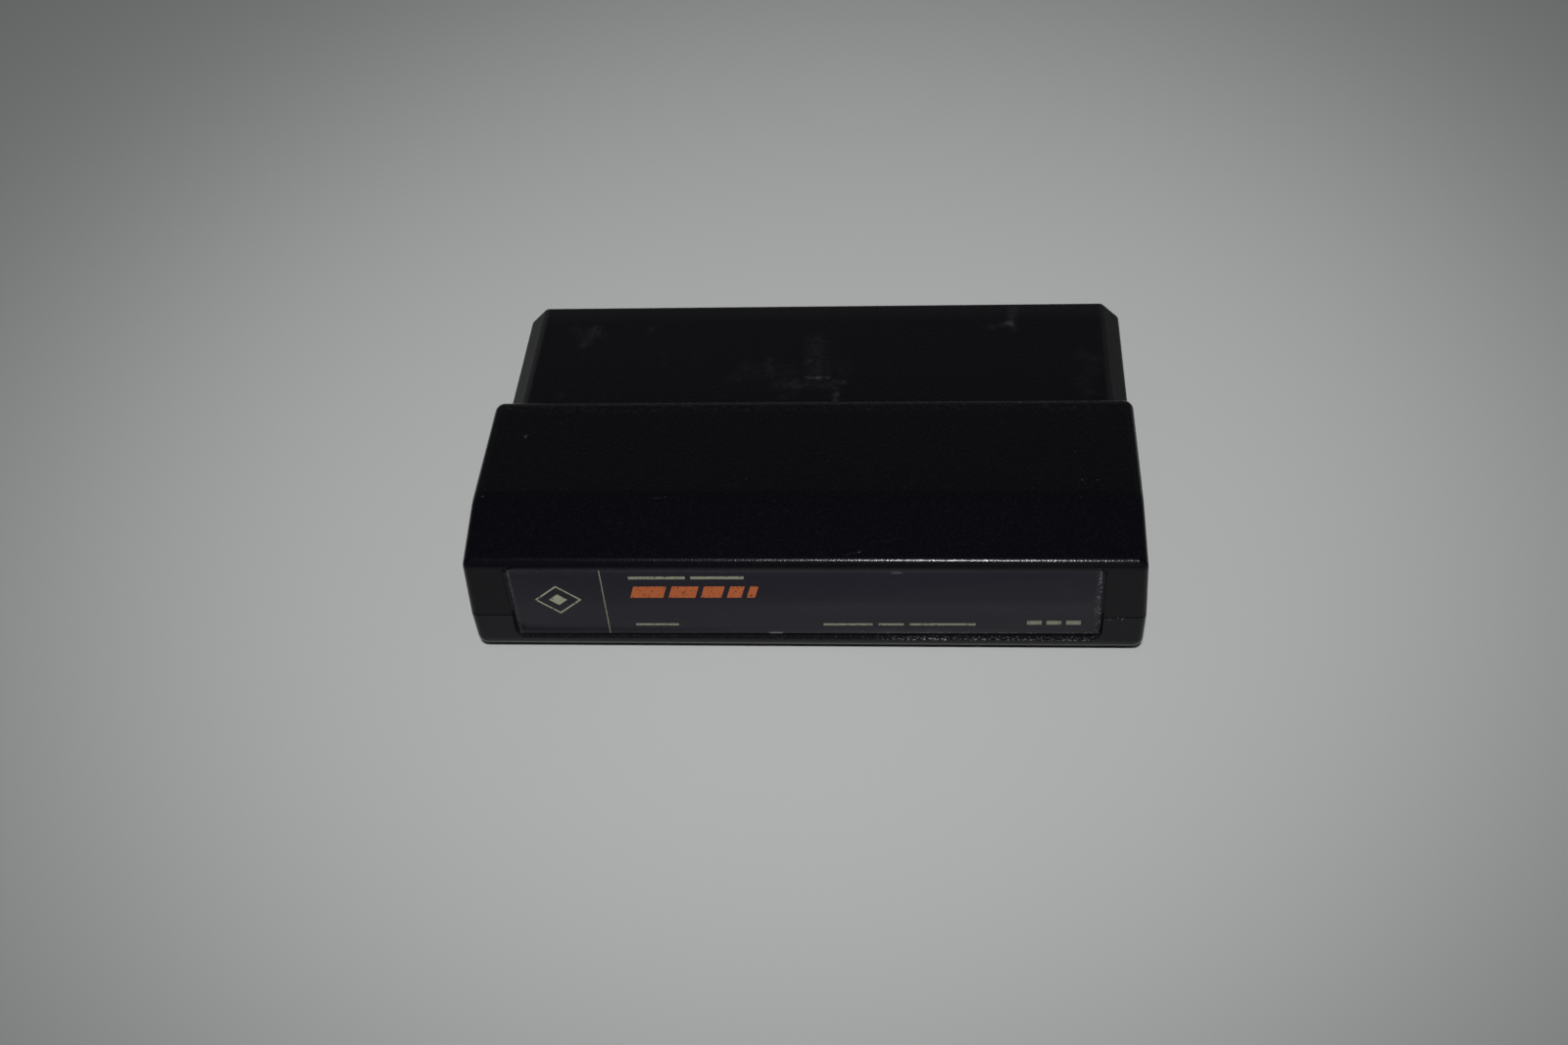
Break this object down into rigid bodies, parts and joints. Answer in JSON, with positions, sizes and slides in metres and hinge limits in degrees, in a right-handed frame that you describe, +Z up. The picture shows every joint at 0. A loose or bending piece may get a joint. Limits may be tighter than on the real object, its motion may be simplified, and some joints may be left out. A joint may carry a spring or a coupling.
{
  "type": "game cartridge",
  "caption": "Flat black slot-in cartridge with a thick creased grip, a recessed front label and a thin tongue whose open end holds a circuit board's card edge.",
  "frame": {"origin": "centre of the case's box, on the underside", "axes": "+X across the case, -Y out of the label face, +Y out of the connector end, +Z up"},
  "size_m": [0.109, 0.0694, 0.0241],
  "materials": {
    "case_plastic": "fine moulded texture, satin",
    "label_film": "printed film, smooth satin",
    "screw_steel": "zinc plated",
    "board_laminate": "glass-fibre laminate under green resist",
    "gold_plate": "gold plated",
    "chip_plastic": "moulded resin",
    "tinned_lead": "tin plated",
    "capacitor_ceramic": "dipped resin coat"
  },
  "bodies": {
    "root": {"upper_shell": "case_plastic", "lower_shell": "case_plastic", "front_label": "label_film", "case_screw": "screw_steel", "circuit_board": "board_laminate", "upper_contact_fingers": "gold_plate", "lower_contact_fingers": "gold_plate", "large_memory_chip_body": "chip_plastic", "large_memory_chip_leads": "tinned_lead", "front_memory_chip_body": "chip_plastic", "front_memory_chip_leads": "tinned_lead", "rear_memory_chip_body": "chip_plastic", "rear_memory_chip_leads": "tinned_lead", "front_capacitor_body": "capacitor_ceramic", "front_capacitor_leads": "tinned_lead", "rear_capacitor_body": "capacitor_ceramic", "rear_capacitor_leads": "tinned_lead"}
  },
  "joints": []
}
